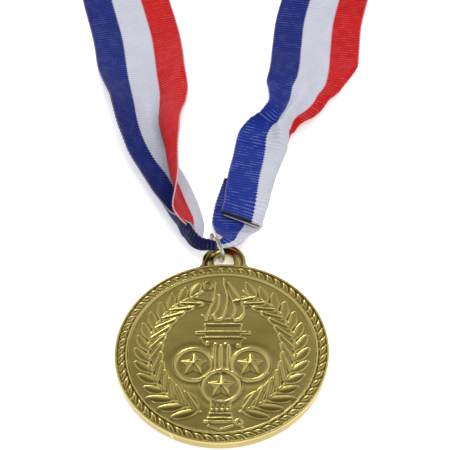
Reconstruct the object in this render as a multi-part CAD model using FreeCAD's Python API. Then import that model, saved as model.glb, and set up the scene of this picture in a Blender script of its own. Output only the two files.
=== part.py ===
import FreeCAD, Part
import math
import os

# Award medal on a neck ribbon, lying face up on a table. Millimetres.
# Origin: centre of the medal's flat back. +Z is out of the medal's face, +Y towards its loop.

V = FreeCAD.Vector

# ---- driving dimensions: medal -------------------------------------------------------------
MEDAL_R = 25.4            # outer radius at the parting line
RIM_TOP = 3.2             # height of the rim above the back
PARTING_Z = 2.2           # height of the parting line
DRAFT = 0.35              # how far the side wall draws in from the parting line to the back
FIELD_Z = 2.4             # flat field inside the rim
CHANNEL_Z = 2.5           # floor of the channel that holds the rope border
LINE_R = 22.6             # raised line inside the rope border
LINE_TOP = 3.05
ROPE_R = 23.9             # middle of the rope border
ROPE_BEADS = 64
BEAD_R = 0.75
BEAD_LENGTH = 1.9
BEAD_SLANT = -40.0        # degrees clockwise from the radial direction
LIP_OUTER_R = 24.95
LIP_INNER_R = 24.7

# ---- loop (tab) at the top of the medal ------------------------------------------------------
TAB_Y = 26.25             # centre of the loop and of its hole
TAB_R = 5.55
TAB_HOLE_R = 2.45
TAB_BOTTOM = 1.6
TAB_TOP = 2.8
TAB_FILLET_R = 2.2
GROOVE_OUTER_R = 4.65
GROOVE_INNER_R = 3.9
GROOVE_DEPTH = 0.3
GATE_WIDTH = 1.8          # trimmed moulding gate opposite the loop
GATE_HEIGHT = 1.0
GATE_DEPTH = 0.2

# ---- relief on the field -----------------------------------------------------------------------
SINK = 0.15               # how far each relief piece reaches into the field
TORCH_TOP = 2.95
LEAF_TOP = 2.85
ROUNDEL_R = 4.5
ROUNDEL_RIM = 0.6
ROUNDEL_TOP = 3.05
ROUNDEL_FLOOR = 2.5
ROUNDELS = [(-6.5, -4.0), (6.8, -4.0), (0.1, -10.0)]
STAR_R = 3.6
STAR_INNER_R = 1.45
STAR_TOP = 3.0
STEM_R = 17.4             # radius of the wreath's stems
STEM_WIDTH = 0.5
LEAVES_PER_BRANCH = 12
BRANCH_START = 196.0      # degrees clockwise from +Y, lower end of the left branch
BRANCH_END = 334.0        # upper end of the left branch
OUTER_LEAF = (3.7, 1.5, -27.0)    # length, width, turn away from the stem
INNER_LEAF = (4.3, 1.3, 33.0)

# ---- jump ring -----------------------------------------------------------------------------------
RING_R = 3.5              # to the middle of the wire
WIRE_R = 0.5
RING_YAW = 26.0           # degrees, far end towards -X
RING_REACH = 3.9          # from the hole's centre to the ring's centre
RING_GAP = 0.25

# ---- ribbon -----------------------------------------------------------------------------------------
RIBBON_WIDTH = 25.0
RIBBON_T = 0.5
SWING_AXIS_Z = 5.0        # height of the ribbon inside the ring: the ring swings about it
GATHER_W = 2.9            # ribbon gathered to pass the ring: along the table, and upwards
GATHER_T = 2.2
LAP_Z = 0.9               # face between the two layers of the heat-sealed lap
LAP_T = 0.6

# One stretch of the route per list: x, y, z of the middle, roll in degrees, width, thickness.
# Roll 0 is flat with the blue edge on the left of travel, 90 stands on the blue edge.
RING_TURN = (-1.7, 29.7, SWING_AXIS_Z)    # middle of the gathered stretch inside the ring
LEFT_LEG = [
    (-4.6, 29.9, 4.9, 0, GATHER_W, GATHER_T),
    (-7.8, 33.0, 3.8, 0, 5.5, 1.8),
    (-10.4, 40.6, 1.8, 0, 8.0, 1.4),
    (-14.8, 53.0, 1.2, 0, 10.5, 1.2),
    (-20.2, 68.0, 1.0, 0, 13.0, 1.0),
    (-22.2, 85.0, 0.8, 0, 19.0, 0.8),
    (-25.6, 101.0, 0.4, 0, RIBBON_WIDTH, RIBBON_T),
    (-31.0, 126.0, 0.35, 0, RIBBON_WIDTH, RIBBON_T),
]
NECK_LOOP = [
    (-39.5, 162.0, 5.2, 20, RIBBON_WIDTH, RIBBON_T),
    (-51.0, 202.0, 11.2, 55, RIBBON_WIDTH, RIBBON_T),
    (-64.5, 243.0, 12.7, 85, RIBBON_WIDTH, RIBBON_T),
    (-76.0, 284.0, 12.6, 90, RIBBON_WIDTH, RIBBON_T),
    (-67.0, 321.5, 12.6, 90, RIBBON_WIDTH, RIBBON_T),
    (-40.0, 349.5, 12.6, 90, RIBBON_WIDTH, RIBBON_T),
    (-2.0, 360.0, 12.6, 90, RIBBON_WIDTH, RIBBON_T),
    (35.0, 349.0, 12.6, 90, RIBBON_WIDTH, RIBBON_T),
    (62.0, 321.0, 12.6, 90, RIBBON_WIDTH, RIBBON_T),
    (71.5, 284.0, 12.6, 90, RIBBON_WIDTH, RIBBON_T),
    (62.5, 243.0, 12.7, 95, RIBBON_WIDTH, RIBBON_T),
    (50.0, 203.0, 11.2, 125, RIBBON_WIDTH, RIBBON_T),
    (37.5, 164.0, 5.2, 160, RIBBON_WIDTH, RIBBON_T),
]
# Points of the loop, counted from 0, where the turn round the neck starts, is halfway and ends.
TURN_FIRST, TURN_MIDDLE, TURN_LAST = 3, 6, 9
RIGHT_LEG = [
    (27.3, 126.0, 0.35, 180, RIBBON_WIDTH, RIBBON_T),
    (24.0, 99.0, 0.4, 180, RIBBON_WIDTH, RIBBON_T),
    (19.6, 86.0, 0.8, 180, 19.0, 0.8),
    (11.8, 74.0, 1.0, 180, 14.0, 1.0),
    (7.8, 63.0, LAP_Z + LAP_T / 2, 180, 12.5, LAP_T),
    (3.8, 44.5, LAP_Z + LAP_T / 2, 180, 12.5, LAP_T),
]
LAP_UNDER = [
    (6.0, 56.0, LAP_Z - LAP_T / 2, 180, 12.0, LAP_T),
    (3.2, 42.0, LAP_Z - LAP_T / 2, 180, 11.5, LAP_T),
    (2.9, 36.6, 1.9, 180, 9.0, 1.2),
    (2.3, 32.4, 3.9, 180, 5.5, 1.8),
    (0.9, 29.9, 4.9, 180, GATHER_W, GATHER_T),
]


def export(shape, node):
    """Write one sub-part, and say whether it is sound."""
    shape.exportStep(os.path.join("parts", node + ".step"))
    print(node, "valid", shape.isValid(), "solids", len(shape.Solids), "volume %.1f" % shape.Volume)


def polar(radius, degrees_clockwise):
    """A point on the face, at an angle measured clockwise from +Y."""
    t = math.radians(degrees_clockwise)
    return radius * math.sin(t), radius * math.cos(t)


def prism(points, bottom, top):
    """An upright prism over a closed outline."""
    wire = Part.makePolygon([V(x, y, bottom) for x, y in points + points[:1]])
    return Part.Face(wire).extrude(V(0, 0, top - bottom))


def box(x0, x1, y0, y1, bottom, top):
    return Part.makeBox(x1 - x0, y1 - y0, top - bottom, V(x0, y0, bottom))


# ---- medal ---------------------------------------------------------------------------------------
def disc():
    """The round body: drafted side wall, lip, rope channel, raised line and field."""
    profile = [
        (0, 0), (MEDAL_R - DRAFT, 0), (MEDAL_R, PARTING_Z), (MEDAL_R - 0.25, RIM_TOP - 0.2),
        (LIP_OUTER_R, RIM_TOP), (LIP_INNER_R, RIM_TOP), (LIP_INNER_R - 0.05, CHANNEL_Z),
        (LINE_R + 0.45, CHANNEL_Z), (LINE_R + 0.2, LINE_TOP), (LINE_R - 0.15, LINE_TOP),
        (LINE_R - 0.4, FIELD_Z), (0, FIELD_Z),
    ]
    wire = Part.makePolygon([V(r, 0, z) for r, z in profile + profile[:1]])
    return Part.Face(wire).revolve(V(0, 0, 0), V(0, 0, 1), 360)


def rope_beads():
    """The slanted beads of the rope border."""
    beads = []
    for i in range(ROPE_BEADS):
        angle = 360.0 * i / ROPE_BEADS
        x, y = polar(ROPE_R, angle)
        dx, dy = polar(1.0, angle + BEAD_SLANT)
        start = V(x - dx * BEAD_LENGTH / 2, y - dy * BEAD_LENGTH / 2, RIM_TOP - BEAD_R)
        beads.append(Part.makeCylinder(BEAD_R, BEAD_LENGTH, start, V(dx, dy, 0)))
    return beads


def tab():
    """The loop: a round lug with flared fillets, a groove round its face and a hole."""
    root_r = MEDAL_R - 0.1
    far, near = root_r + TAB_FILLET_R, TAB_R + TAB_FILLET_R
    cy = (far ** 2 - near ** 2 + TAB_Y ** 2) / (2 * TAB_Y)
    cx = math.sqrt(far ** 2 - cy ** 2)
    on_disc = (cx * root_r / far, cy * root_r / far)
    on_lug = (cx * TAB_R / near, TAB_Y + (cy - TAB_Y) * TAB_R / near)
    inward = (on_disc[0] + on_lug[0] - 2 * cx, on_disc[1] + on_lug[1] - 2 * cy)
    reach = TAB_FILLET_R / math.hypot(*inward)
    hollow = (cx + inward[0] * reach, cy + inward[1] * reach)
    foot = (on_disc[0] * LIP_INNER_R / root_r, on_disc[1] * LIP_INNER_R / root_r)

    def at(point, side):
        return V(side * point[0], point[1], TAB_BOTTOM)

    edges = [
        Part.Arc(at(on_disc, -1), at(hollow, -1), at(on_lug, -1)).toShape(),
        Part.Arc(at(on_lug, -1), V(0, TAB_Y + TAB_R, TAB_BOTTOM), at(on_lug, 1)).toShape(),
        Part.Arc(at(on_lug, 1), at(hollow, 1), at(on_disc, 1)).toShape(),
        Part.makeLine(at(on_disc, 1), at(foot, 1)),
        Part.Arc(at(foot, 1), V(0, LIP_INNER_R, TAB_BOTTOM), at(foot, -1)).toShape(),
        Part.makeLine(at(foot, -1), at(on_disc, -1)),
    ]
    lug = Part.Face(Part.Wire(edges)).extrude(V(0, 0, TAB_TOP - TAB_BOTTOM))
    centre = V(0, TAB_Y, TAB_BOTTOM - 1)
    lug = lug.cut(Part.makeCylinder(TAB_HOLE_R, 4, centre))
    groove_base = V(0, TAB_Y, TAB_TOP - GROOVE_DEPTH)
    groove = Part.makeCylinder(GROOVE_OUTER_R, 1, groove_base)
    groove = groove.cut(Part.makeCylinder(GROOVE_INNER_R, 1, groove_base))
    return lug.cut(groove)


def gate():
    """The trimmed stub of the moulding gate."""
    y = -MEDAL_R - GATE_DEPTH
    z = PARTING_Z - GATE_HEIGHT / 2
    return box(-GATE_WIDTH / 2, GATE_WIDTH / 2, y, y + 1.0, z, z + GATE_HEIGHT)


def torch():
    """Handle, fluted column, bowl and flame."""
    low = FIELD_Z - SINK
    pieces = [
        box(-4.2, 4.4, 6.4, 7.4, low, TORCH_TOP),          # bowl plates, from the top down
        box(-6.2, 6.4, 4.5, 5.4, low, TORCH_TOP),
        box(-5.1, 5.4, 2.9, 3.9, low, TORCH_TOP),
        box(-2.3, 2.3, -15.9, -14.3, low, TORCH_TOP - 0.1),  # fluted grip under the lower roundel
        box(-2.6, 2.6, -17.9, -17.2, low, TORCH_TOP),        # bands of the handle
        box(-3.3, 3.3, -19.6, -18.7, low, TORCH_TOP),
    ]
    for x in (-1.7, 0.0, 1.7):
        pieces.append(box(x - 0.45, x + 0.45, -5.6, 1.4, low, TORCH_TOP))
    for x in (-3.0, 0.0, 3.0):
        pieces.append(Part.makeCylinder(1.2, TORCH_TOP - low, V(x, 2.0, low)))
    for x in (-1.8, -0.6, 0.6, 1.8):
        pieces.append(Part.makeCylinder(0.3, TORCH_TOP - low, V(x, -16.5, low)))
    pieces.append(prism([(-2.7, -20.2), (-1.9, -20.2), (0.1, -21.2), (2.1, -20.2), (2.9, -20.2),
                         (0.1, -22.0)], low, TORCH_TOP))
    pieces += [tongue(*t, low) for t in (((-2.4, 8.8), (-2.0, 19.6), 1.4),
                                         ((-0.2, 8.6), (0.1, 21.0), 1.4),
                                         ((3.3, 8.6), (1.6, 19.4), 1.9))]
    return pieces


def tongue(base, tip, half_width, low):
    """One tongue of flame: a lens that is widest a third of the way up."""
    bx, by = base
    tx, ty = tip
    mx, my = bx + (tx - bx) * 0.35, by + (ty - by) * 0.35
    left, right = V(mx - half_width, my, low), V(mx + half_width, my, low)
    bottom, top = V(bx, by, low), V(tx, ty, low)
    edges = [Part.Arc(bottom, left, top).toShape(), Part.Arc(top, right, bottom).toShape()]
    return Part.Face(Part.Wire(edges)).extrude(V(0, 0, TORCH_TOP - low))


def star(x, y):
    """A five-pointed star with a raised centre, as ten facets over a flat base."""
    low = ROUNDEL_FLOOR - 0.05
    ring = []
    for k in range(10):
        dx, dy = polar(STAR_R if k % 2 == 0 else STAR_INNER_R, 36.0 * k)
        ring.append(V(x + dx, y + dy, low))
    apex = V(x, y, STAR_TOP)
    faces = [Part.Face(Part.makePolygon([ring[k], ring[(k + 1) % 10], apex, ring[k]]))
             for k in range(10)]
    faces.append(Part.Face(Part.makePolygon(ring + ring[:1])))
    return Part.makeSolid(Part.makeShell(faces))


def roundels():
    """Three round shields: a raised rim round a low floor with a star."""
    low = FIELD_Z - SINK
    pieces = []
    for x, y in ROUNDELS:
        base = V(x, y, low)
        dish = Part.makeCylinder(ROUNDEL_R, ROUNDEL_TOP - low, base)
        well = Part.makeCylinder(ROUNDEL_R - ROUNDEL_RIM, 1, V(x, y, ROUNDEL_FLOOR))
        pieces += [dish.cut(well), star(x, y)]
    return pieces


def leaf(x, y, heading, length, width):
    """A pointed leaf that starts at x, y and points along heading, clockwise from +Y."""
    low = FIELD_Z - SINK
    dx, dy = polar(1.0, heading)
    tip = V(x + dx * length, y + dy * length, low)
    mid = V(x + dx * length * 0.45, y + dy * length * 0.45, low)
    side = V(-dy, dx, 0) * (width / 2)
    start = V(x, y, low)
    edges = [Part.Arc(start, mid + side, tip).toShape(), Part.Arc(tip, mid - side, start).toShape()]
    return Part.Face(Part.Wire(edges)).extrude(V(0, 0, LEAF_TOP - low))


def wreath_branch(side):
    """One branch of the wreath: a stem along a circle, with pairs of leaves."""
    low = FIELD_Z - SINK
    sweep = BRANCH_END - BRANCH_START
    ring = Part.makeCylinder(STEM_R + STEM_WIDTH / 2, LEAF_TOP - low, V(0, 0, low), V(0, 0, 1), sweep)
    core = Part.makeCylinder(STEM_R - STEM_WIDTH / 2, 2, V(0, 0, low - 0.5))
    stem = ring.cut(core)
    stem.rotate(V(0, 0, 0), V(0, 0, 1), 90 - BRANCH_END)
    pieces = [stem]
    for k in range(LEAVES_PER_BRANCH):
        angle = BRANCH_START + 4.0 + (sweep - 4.0) * k / LEAVES_PER_BRANCH
        for offset, (length, width, turn) in ((0.6, OUTER_LEAF), (-0.6, INNER_LEAF)):
            x, y = polar(STEM_R + offset, angle)
            pieces.append(leaf(x, y, angle + 90 + turn, length, width))
    if side > 0:
        pieces = [p.mirror(V(0, 0, 0), V(1, 0, 0)) for p in pieces]
    return pieces


def medal_body():
    body = disc().fuse(tab()).fuse(gate())
    relief = rope_beads() + torch() + roundels() + wreath_branch(-1) + wreath_branch(1)
    return body.fuse(relief).removeSplitter()


# ---- jump ring -----------------------------------------------------------------------------------
def jump_ring():
    """Round wire bent to a ring with a hairline gap, upright in the loop's hole."""
    yaw = math.radians(RING_YAW)
    forward = V(-math.sin(yaw), math.cos(yaw), 0)
    centre = V(0, TAB_Y, RING_R + WIRE_R) + forward * RING_REACH
    gap_angle = math.degrees(RING_GAP / RING_R)
    ring = Part.makeTorus(RING_R, WIRE_R, V(0, 0, 0), V(0, 0, 1), 0, 360, 360 - gap_angle)
    ring.rotate(V(0, 0, 0), V(0, 0, 1), -60)
    ring.rotate(V(0, 0, 0), V(0, 1, 0), 90)
    ring.rotate(V(0, 0, 0), V(0, 0, 1), RING_YAW)
    ring.translate(centre)
    return ring


# ---- ribbon --------------------------------------------------------------------------------------
def rounded(stations):
    """The route as straight runs joined by tangent arcs.

    Each point in turn is replaced by the ends and the middle of its arc. The arc's radius is
    0.45 of the shorter run, divided by the tangent of half the turn. Gives the new stations,
    the radii and the length.
    """
    places = [V(*s[:3]) for s in stations]
    rest = [s[3:] for s in stations]
    out = [(places[0], rest[0])]
    radii = []
    for i in range(1, len(places) - 1):
        back, ahead = places[i - 1] - places[i], places[i + 1] - places[i]
        shorter = min(back.Length, ahead.Length)
        turn = math.pi - back.getAngle(ahead)
        radius = 0.45 * shorter / math.tan(turn / 2)
        radii.append(radius)
        cut = 0.45 * shorter
        first, last = back.normalize() * cut, ahead.normalize() * cut
        inward = (first + last).normalize() * (radius / math.cos(turn / 2) - radius)
        share_back = cut / (places[i - 1] - places[i]).Length
        share_ahead = cut / (places[i + 1] - places[i]).Length
        out.append((places[i] + first, mix(rest[i], rest[i - 1], share_back)))
        out.append((places[i] + inward, rest[i]))
        out.append((places[i] + last, mix(rest[i], rest[i + 1], share_ahead)))
    out.append((places[-1], rest[-1]))
    length = sum((out[i + 1][0] - out[i][0]).Length for i in range(len(out) - 1))
    return out, radii, length


def mix(a, b, share):
    return tuple(p + (q - p) * share for p, q in zip(a, b))


def section(place, heading, roll, width, thickness):
    """A flat rectangle across the route."""
    flat = V(heading.x, heading.y, 0).normalize()
    right = V(flat.y, -flat.x, 0)
    t = math.radians(roll)
    across = right * math.cos(t) + V(0, 0, 1) * math.sin(t)
    out = flat.cross(across)
    corners = [(-1, -1), (1, -1), (1, 1), (-1, 1)]
    points = [place + across * (width / 2 * a) + out * (thickness / 2 * b) for a, b in corners]
    return Part.makePolygon(points + points[:1])


def sections(stations):
    """A rectangle across the tape at each station."""
    wires = []
    for i, (place, (roll, width, thickness)) in enumerate(stations):
        before = stations[max(i - 1, 0)][0]
        after = stations[min(i + 1, len(stations) - 1)][0]
        wires.append(section(place, after - before, roll, width, thickness))
    return wires


def tape(wires):
    """A closed solid of flat tape, its faces ruled between sections."""
    return Part.makeLoft(wires, True, True)


def ring_turn(first, last):
    """The ribbon gathered to a narrow bundle where it passes through the ring."""
    middle = V(*RING_TURN)
    across = section(middle, V(-1, 0, 0), 0, GATHER_W, GATHER_T)
    return tape([first, across, last])


def stretches():
    """Round the whole route, then share its sections between the ribbon's stretches."""
    whole, radii, length = rounded(LEFT_LEG + NECK_LOOP + RIGHT_LEG)
    wires = sections(whole)
    cuts = [-1, TURN_FIRST, TURN_MIDDLE, TURN_LAST, len(NECK_LOOP)]
    ends = [1] + [3 * (len(LEFT_LEG) + cut) for cut in cuts] + [len(wires)]
    print("ribbon arc radii", " ".join("%.0f" % r for r in radii))
    return [wires[a - 1:b] for a, b in zip(ends, ends[1:])], length


os.makedirs("parts", exist_ok=True)
export(medal_body(), "medal_body")
export(jump_ring(), "jump_ring")
(left, neck_left, turn_left, turn_right, neck_right, right), main_length = stretches()
under_stations, under_radii, under_length = rounded(LAP_UNDER)
under = sections(under_stations)
print("radii under the lap", " ".join("%.0f" % r for r in under_radii))
export(tape(left), "ribbon_left_leg")
export(tape(neck_left), "ribbon_neck_left")
export(tape(turn_left), "ribbon_turn_left")
export(tape(turn_right), "ribbon_turn_right")
export(tape(neck_right), "ribbon_neck_right")
export(tape(right), "ribbon_right_leg")
export(tape(under), "ribbon_lap_under")
export(ring_turn(under[-1], left[0]), "ribbon_ring_turn")
print("ribbon lengths", "%.1f" % main_length, "%.1f" % under_length)
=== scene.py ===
"""An award medal on a striped neck ribbon, lying face up on a pale table.

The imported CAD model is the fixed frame. The ribbon, the medal, its loop and the jump ring are
rebuilt here with their fine detail, at the CAD model's own size and place. Their lengths are
written in millimetres and turned into metres where meshes are made. The camera, the table, the
lights and the materials are in metres.
"""

import math

import bpy
import numpy as np
from mathutils import Matrix, Vector


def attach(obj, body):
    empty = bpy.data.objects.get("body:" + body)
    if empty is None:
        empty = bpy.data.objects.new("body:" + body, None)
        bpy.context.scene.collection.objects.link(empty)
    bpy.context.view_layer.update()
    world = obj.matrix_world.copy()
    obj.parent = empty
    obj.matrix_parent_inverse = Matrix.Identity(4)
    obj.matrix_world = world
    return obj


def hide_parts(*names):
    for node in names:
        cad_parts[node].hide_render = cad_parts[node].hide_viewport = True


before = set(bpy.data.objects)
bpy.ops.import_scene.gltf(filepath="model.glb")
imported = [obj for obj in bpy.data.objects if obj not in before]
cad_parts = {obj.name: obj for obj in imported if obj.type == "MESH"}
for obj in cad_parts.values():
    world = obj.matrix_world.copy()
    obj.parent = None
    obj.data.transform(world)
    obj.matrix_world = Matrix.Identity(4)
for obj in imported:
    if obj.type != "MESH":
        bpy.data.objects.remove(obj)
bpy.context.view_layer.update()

MM = 0.001
CAMERA_PLACE = (0.0125, -0.1799, 0.2677)
CAMERA_RIGHT = (0.9993, 0.0196, -0.0309)
CAMERA_UP = (0.0046, 0.7722, 0.6354)
LENS, SENSOR = 108.1, 36.0      # these two are in millimetres


# ---- camera ------------------------------------------------------------------------------------
def make_camera():
    """The camera's place, axes and lens, at the angle from which the object is shown."""
    data = bpy.data.cameras.new("camera")
    data.lens, data.sensor_width = LENS, SENSOR
    data.clip_start, data.clip_end = 0.01, 10.0
    camera = bpy.data.objects.new("camera", data)
    right = Vector(CAMERA_RIGHT)
    up = Vector(CAMERA_UP)
    back = right.cross(up).normalized()
    up = back.cross(right).normalized()
    right.normalize()
    turn = Matrix((right, up, back)).transposed().to_4x4()
    camera.matrix_world = Matrix.Translation(CAMERA_PLACE) @ turn
    bpy.context.scene.collection.objects.link(camera)
    bpy.context.scene.camera = camera


make_camera()
bpy.context.scene.view_settings.view_transform = "Standard"

# ---- ribbon: its route -------------------------------------------------------------------------
RING_TURN = (-1.7, 29.7, 5.0)
LEFT_LEG = [(-4.6, 29.9, 4.9), (-7.8, 33.0, 3.8), (-10.4, 40.6, 1.8), (-14.8, 53.0, 1.2),
            (-20.2, 68.0, 1.0), (-22.2, 85.0, 0.8), (-25.6, 101.0, 0.4), (-31.0, 126.0, 0.35)]
NECK_LOOP = [(-39.5, 162.0, 5.2), (-51.0, 202.0, 11.2), (-64.5, 243.0, 12.7),
             (-76.0, 284.0, 12.6), (-67.0, 321.5, 12.6), (-40.0, 349.5, 12.6),
             (-2.0, 360.0, 12.6), (35.0, 349.0, 12.6), (62.0, 321.0, 12.6),
             (71.5, 284.0, 12.6), (62.5, 243.0, 12.7), (50.0, 203.0, 11.2),
             (37.5, 164.0, 5.2)]
RIGHT_LEG = [(27.3, 126.0, 0.35), (24.0, 99.0, 0.4), (19.6, 86.0, 0.8), (11.8, 74.0, 1.0),
             (7.8, 63.0, 1.2)]
LAP_UNDER = [(3.2, 42.0, 0.6), (2.9, 36.6, 1.9), (2.3, 32.4, 3.9), (0.9, 29.9, 4.9)]
ROUTE = [RING_TURN] + LEFT_LEG + NECK_LOOP + RIGHT_LEG + LAP_UNDER + [RING_TURN]

RIBBON_WIDTH = 25.0
RIBBON_THICK = 0.4
COLUMNS = 42
FINE_STEP = 0.55          # between rows of the mesh where the ribbon is seen close
COARSE_STEP = 1.3         # round the neck
FINE_PAST = 4.0           # how far past the legs' end the close spacing goes on
FOLD_WIDTH = 0.075        # the part of the ribbon's width that a fold takes to turn
FOLD_ANGLE = 183.0        # the folded part rises a little towards the layer above it
RED_GATHER_U = 0.62       # the red's own gather sets in from this place across the ribbon
RED_GATHER_WIDTH = 0.1    # and is whole this much farther across
EDGE_THIN = 0.75          # the thickness of the two edges, as a part of the middle's
BURN_UPPER = 1.1          # length of the melted part at the upper layer's cut end
BURN_UNDER = 2.6          # and at the under layer's
SERRATION = 0.10          # how far the edges go out, and in again, from row to row
LEG_END_Y = 127.0         # the two legs lie below this, the neck loop above
LAP_TOP_Y = 53.5          # upper end of the under layer of the lap
LAP_LOW_Y = 40.8          # lower end of the upper layer
ACROSS = [0.0, 0.2, 0.333, 0.47, 0.53, 0.667, 0.833, 1.0]

# Cross-sections, for a row of the ribbon whose middle line passes y:
# y, shift across, height, gather of the blue and white and of the red, slant of the row,
# and the cloth's angle from flat, in degrees, at the eight places ACROSS it.
LEFT = [
    (29.7, 0.6, 0.1, 0.40, 0.05, 0, -150, -115, -10, 30, 160, 168, 190, 200),
    (30.0, 0.9, -0.1, 0.46, 0.05, 0, -150, -115, -10, 30, 160, 168, 190, 200),
    (30.6, 1.1, -0.4, 0.56, 0.05, 0, -145, -110, -10, 35, 150, 150, 150, 160),
    (32.0, 1.7, -0.6, 0.72, 0.06, 0, -140, -106, -15, 30, 138, 132, 125, 130),
    (34.0, 2.6, -1.1, 0.86, 0.24, 0, -132, -102, -20, 10, 138, 132, 120, 118),
    (36.0, 3.5, -1.4, 0.98, 0.66, 0, -120, -84, -12, 5, 140, 138, 124, 120),
    (38.5, 4.3, -1.4, 1.0, 0.90, 0, -108, -68, -8, 0, 142, 138, 128, 124),
    (41.0, 4.7, -1.1, 1.0, 1.0, 0, -95, -50, -5, 0, 150, 142, 116, 108),
    (46.0, 5.0, -0.6, 1.0, 1.0, 0, -75, -38, -5, 0, 158, 152, 88, 80),
    (51.0, 4.9, -0.4, 1.0, 1.0, 0, -55, -34, -8, 0, 158, 148, 70, 58),
    (57.0, 4.2, -0.4, 1.0, 1.0, 0, -45, -35, -15, 0, 140, 130, 58, 42),
    (62.0, 3.0, -0.4, 1.0, 1.0, 0, -45, -40, -20, 0, 105, 112, 48, 30),
    (68.0, 1.5, -0.4, 1.0, 1.0, 0, -48, -45, -34, -10, 75, 100, 35, 5),
    (74.0, 0.4, -0.3, 1.0, 1.0, 0, -48, -46, -38, -18, 55, 80, 20, -12),
    (80.0, -0.2, 0.0, 1.0, 1.0, 0, -45, -44, -38, -20, 25, 60, 8, -20),
    (87.0, -0.3, 0.0, 1.0, 1.0, 0, -38, -34, -28, -15, 15, 30, 12, -15),
    (93.0, -0.2, 0.0, 1.0, 1.0, 0, -30, -26, -15, -5, 12, 24, 14, -5),
    (101.0, 0.2, 0.0, 1.0, 1.0, 0, -14, -10, -4, 0, 5, 10, 8, 0),
    (110.0, 0.6, 0.0, 1.0, 1.0, 0, -4, -2, 0, 0, 0, 0, 0, 0),
    (127.0, 0.0, 0.0, 1.0, 1.0, 0, 0, 0, 0, 0, 0, 0, 0, 0),
]
RIGHT = [
    (40.8, -4.3, 2.8, 1.0, 0.55, 0.3, 0, 0, 0, 0, 0, 0, 0, 0),
    (43.6, -4.3, 2.7, 1.0, 0.58, 0.25, 0, 0, 0, 0, 0, 0, 0, 0),
    (48.7, -4.8, 2.6, 1.0, 0.70, 0, 0, 0, 0, 0, 0, 0, 0, 0),
    (55.0, -5.5, 2.1, 1.0, 0.82, 0, 0, 0, 0, 0, 0, 0, 0, 0),
    (60.4, -5.9, 1.5, 1.0, 0.86, 0, 0, 0, 0, 0, 0, 0, 0, 0),
    (64.5, -6.5, 1.4, 1.0, 0.70, 0, 0, 0, 0, -4, -8, 0, 0, 0),
    (66.5, -6.8, 1.6, 0.98, 0.50, 0, 3, 3, 0, 8, -40, -20, 0, 0),
    (68.5, -7.0, 1.6, 0.97, 0.34, 0, 5, 5, 12, 44, -64, -30, 0, 0),
    (72.2, -5.8, 2.9, 0.88, 0.42, 0, -12, -8, 45, 70, -72, -40, -20, 0),
    (74.0, -3.6, 4.7, 0.74, 0.5, 0, -30, -38, 50, 70, -72, -40, -20, 0),
    (76.6, -3.2, 5.3, 0.68, 0.6, 0, -25, -40, 48, 66, -68, -30, -10, 0),
    (81.5, -6.4, 3.6, 0.84, 0.85, 0, -10, -30, 35, 46, -56, -8, 0, 0),
    (86.8, -9.8, 1.5, 0.97, 1.0, 0, 0, 0, 20, 25, -32, 0, 0, 0),
    (92.0, -10.8, 1.45, 1.0, 1.0, 0, 0, 0, 0, 0, 0, 0, 0, 0),
    (98.3, -11.7, 0.9, 1.0, 1.0, 0, 0, 0, 0, 0, 0, 0, 0, 0),
    (104.0, -12.4, 0.0, 1.0, 1.0, 0, 0, 0, 0, 0, 0, 0, 0, 0),
    (115.0, -12.9, 0.0, 1.0, 1.0, 0, 0, 0, 0, 0, 0, 0, 0, 0),
    (127.0, -12.5, 0.0, 1.0, 1.0, 0, 0, 0, 0, 0, 0, 0, 0, 0),
]
UNDER = [
    (29.7, -1.0, 0.7, 0.18, 0.07, -0.5, 0, 5, 0, 0, 0, 0, 0, 0),
    (30.0, -1.5, 0.9, 0.24, 0.10, -0.6, 0, 5, 0, 0, 0, 0, 0, 0),
    (30.8, -2.2, 1.0, 0.34, 0.15, -0.6, 0, 5, 0, 0, 0, 0, 0, 0),
    (32.4, -3.4, 0.8, 0.50, 0.30, -0.5, 0, 5, 0, 0, 0, 0, 0, 0),
    (35.0, -4.9, 0.3, 0.72, 0.60, -0.3, 0, 0, 0, 0, 0, 0, 0, 0),
    (37.4, -5.8, 0.4, 0.90, 0.85, -0.1, 0, 0, 0, 0, 0, 0, 0, 0),
    (39.8, -6.4, 0.6, 1.0, 1.0, 0, 0, 0, 0, 0, 0, 0, 0, 0),
    (44.8, -6.6, 1.0, 1.0, 1.0, 0, 0, 0, 0, 0, 0, 0, 0, 0),
    (53.5, -6.3, 0.9, 1.0, 1.0, 0, 0, 0, 0, 0, 0, 0, 0, 0),
]
# y, and the place across the ribbon where it is folded under itself (over 1 is no fold).
NO_FOLD = [(0.0, 1.5), (200.0, 1.5)]
RIGHT_FOLD = [(40.8, 0.44), (43.6, 0.45), (48.7, 0.48), (55.0, 0.50), (60.4, 0.52), (64.5, 0.55),
              (68.5, 0.64), (72.2, 0.76), (74.0, 0.80), (76.6, 0.81), (81.5, 0.80), (86.8, 0.80),
              (92.0, 0.86), (98.3, 0.97), (104.0, 1.06), (110.0, 1.5), (127.0, 1.5)]
UNDER_FOLD = [(29.7, 0.52), (53.5, 0.52)]
# y and roll of the ribbon round the neck, going out on the left and coming back on the right.
LOOP_OUT = [(127.0, 0), (162.0, 20), (202.0, 55), (243.0, 85), (265.0, 90), (400.0, 90)]
LOOP_BACK = [(127.0, 180), (164.0, 160), (203.0, 125), (243.0, 95), (265.0, 90), (400.0, 90)]


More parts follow.
